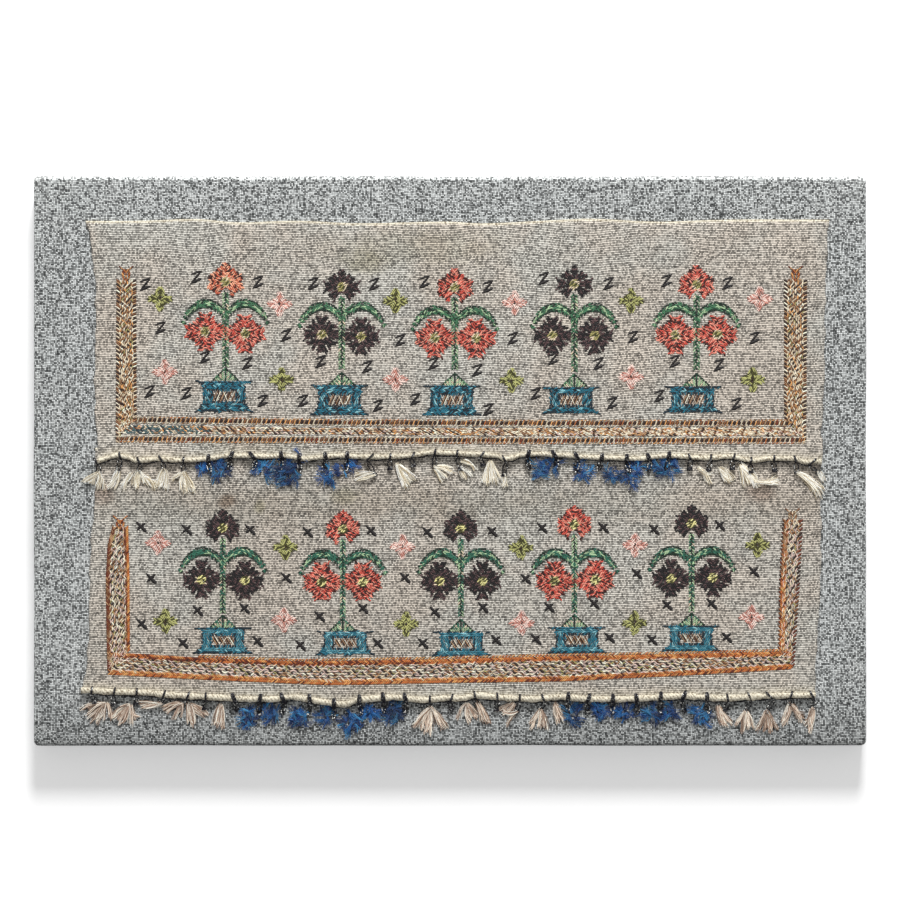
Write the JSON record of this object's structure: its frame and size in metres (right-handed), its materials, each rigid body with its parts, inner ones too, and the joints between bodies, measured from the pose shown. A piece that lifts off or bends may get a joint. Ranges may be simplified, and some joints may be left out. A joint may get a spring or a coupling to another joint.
{
  "type": "embroidered towel ends mounted on a linen-covered board",
  "caption": "Two old towel ends with counted-thread flower embroidery and silk tassels, sewn one above the other to a flat board covered in coarse grey-blue linen.",
  "frame": {"origin": "on the surface that the panel lies on, under the middle of the board", "axes": "+X to the right along the panel, +Y up the picture, +Z out of the embroidered face"},
  "size_m": [0.5, 0.342, 0.026],
  "materials": {
    "ground_linen": "coarse matt linen, grey-blue with pale slubs",
    "board": "plain sanded board, hidden but for its back",
    "towel_cloth": "fine matt hand-woven cloth, greige with pale cross ribs",
    "cream_silk": "soft untwisted silk, cream",
    "blue_silk": "soft untwisted silk, royal blue"
  },
  "bodies": {
    "root": {"mount_board": "board", "linen_cover": "ground_linen", "upper_towel_end": "towel_cloth", "lower_towel_end": "towel_cloth", "upper_tassels_1_cream": "cream_silk", "upper_tassels_2_blue": "blue_silk", "upper_tassels_3_cream": "cream_silk", "upper_tassels_4_blue": "blue_silk", "upper_tassels_5_cream": "cream_silk", "lower_tassels_1_cream": "cream_silk", "lower_tassels_2_blue": "blue_silk", "lower_tassels_3_cream": "cream_silk", "lower_tassels_4_blue": "blue_silk", "lower_tassels_5_cream": "cream_silk"}
  },
  "joints": []
}
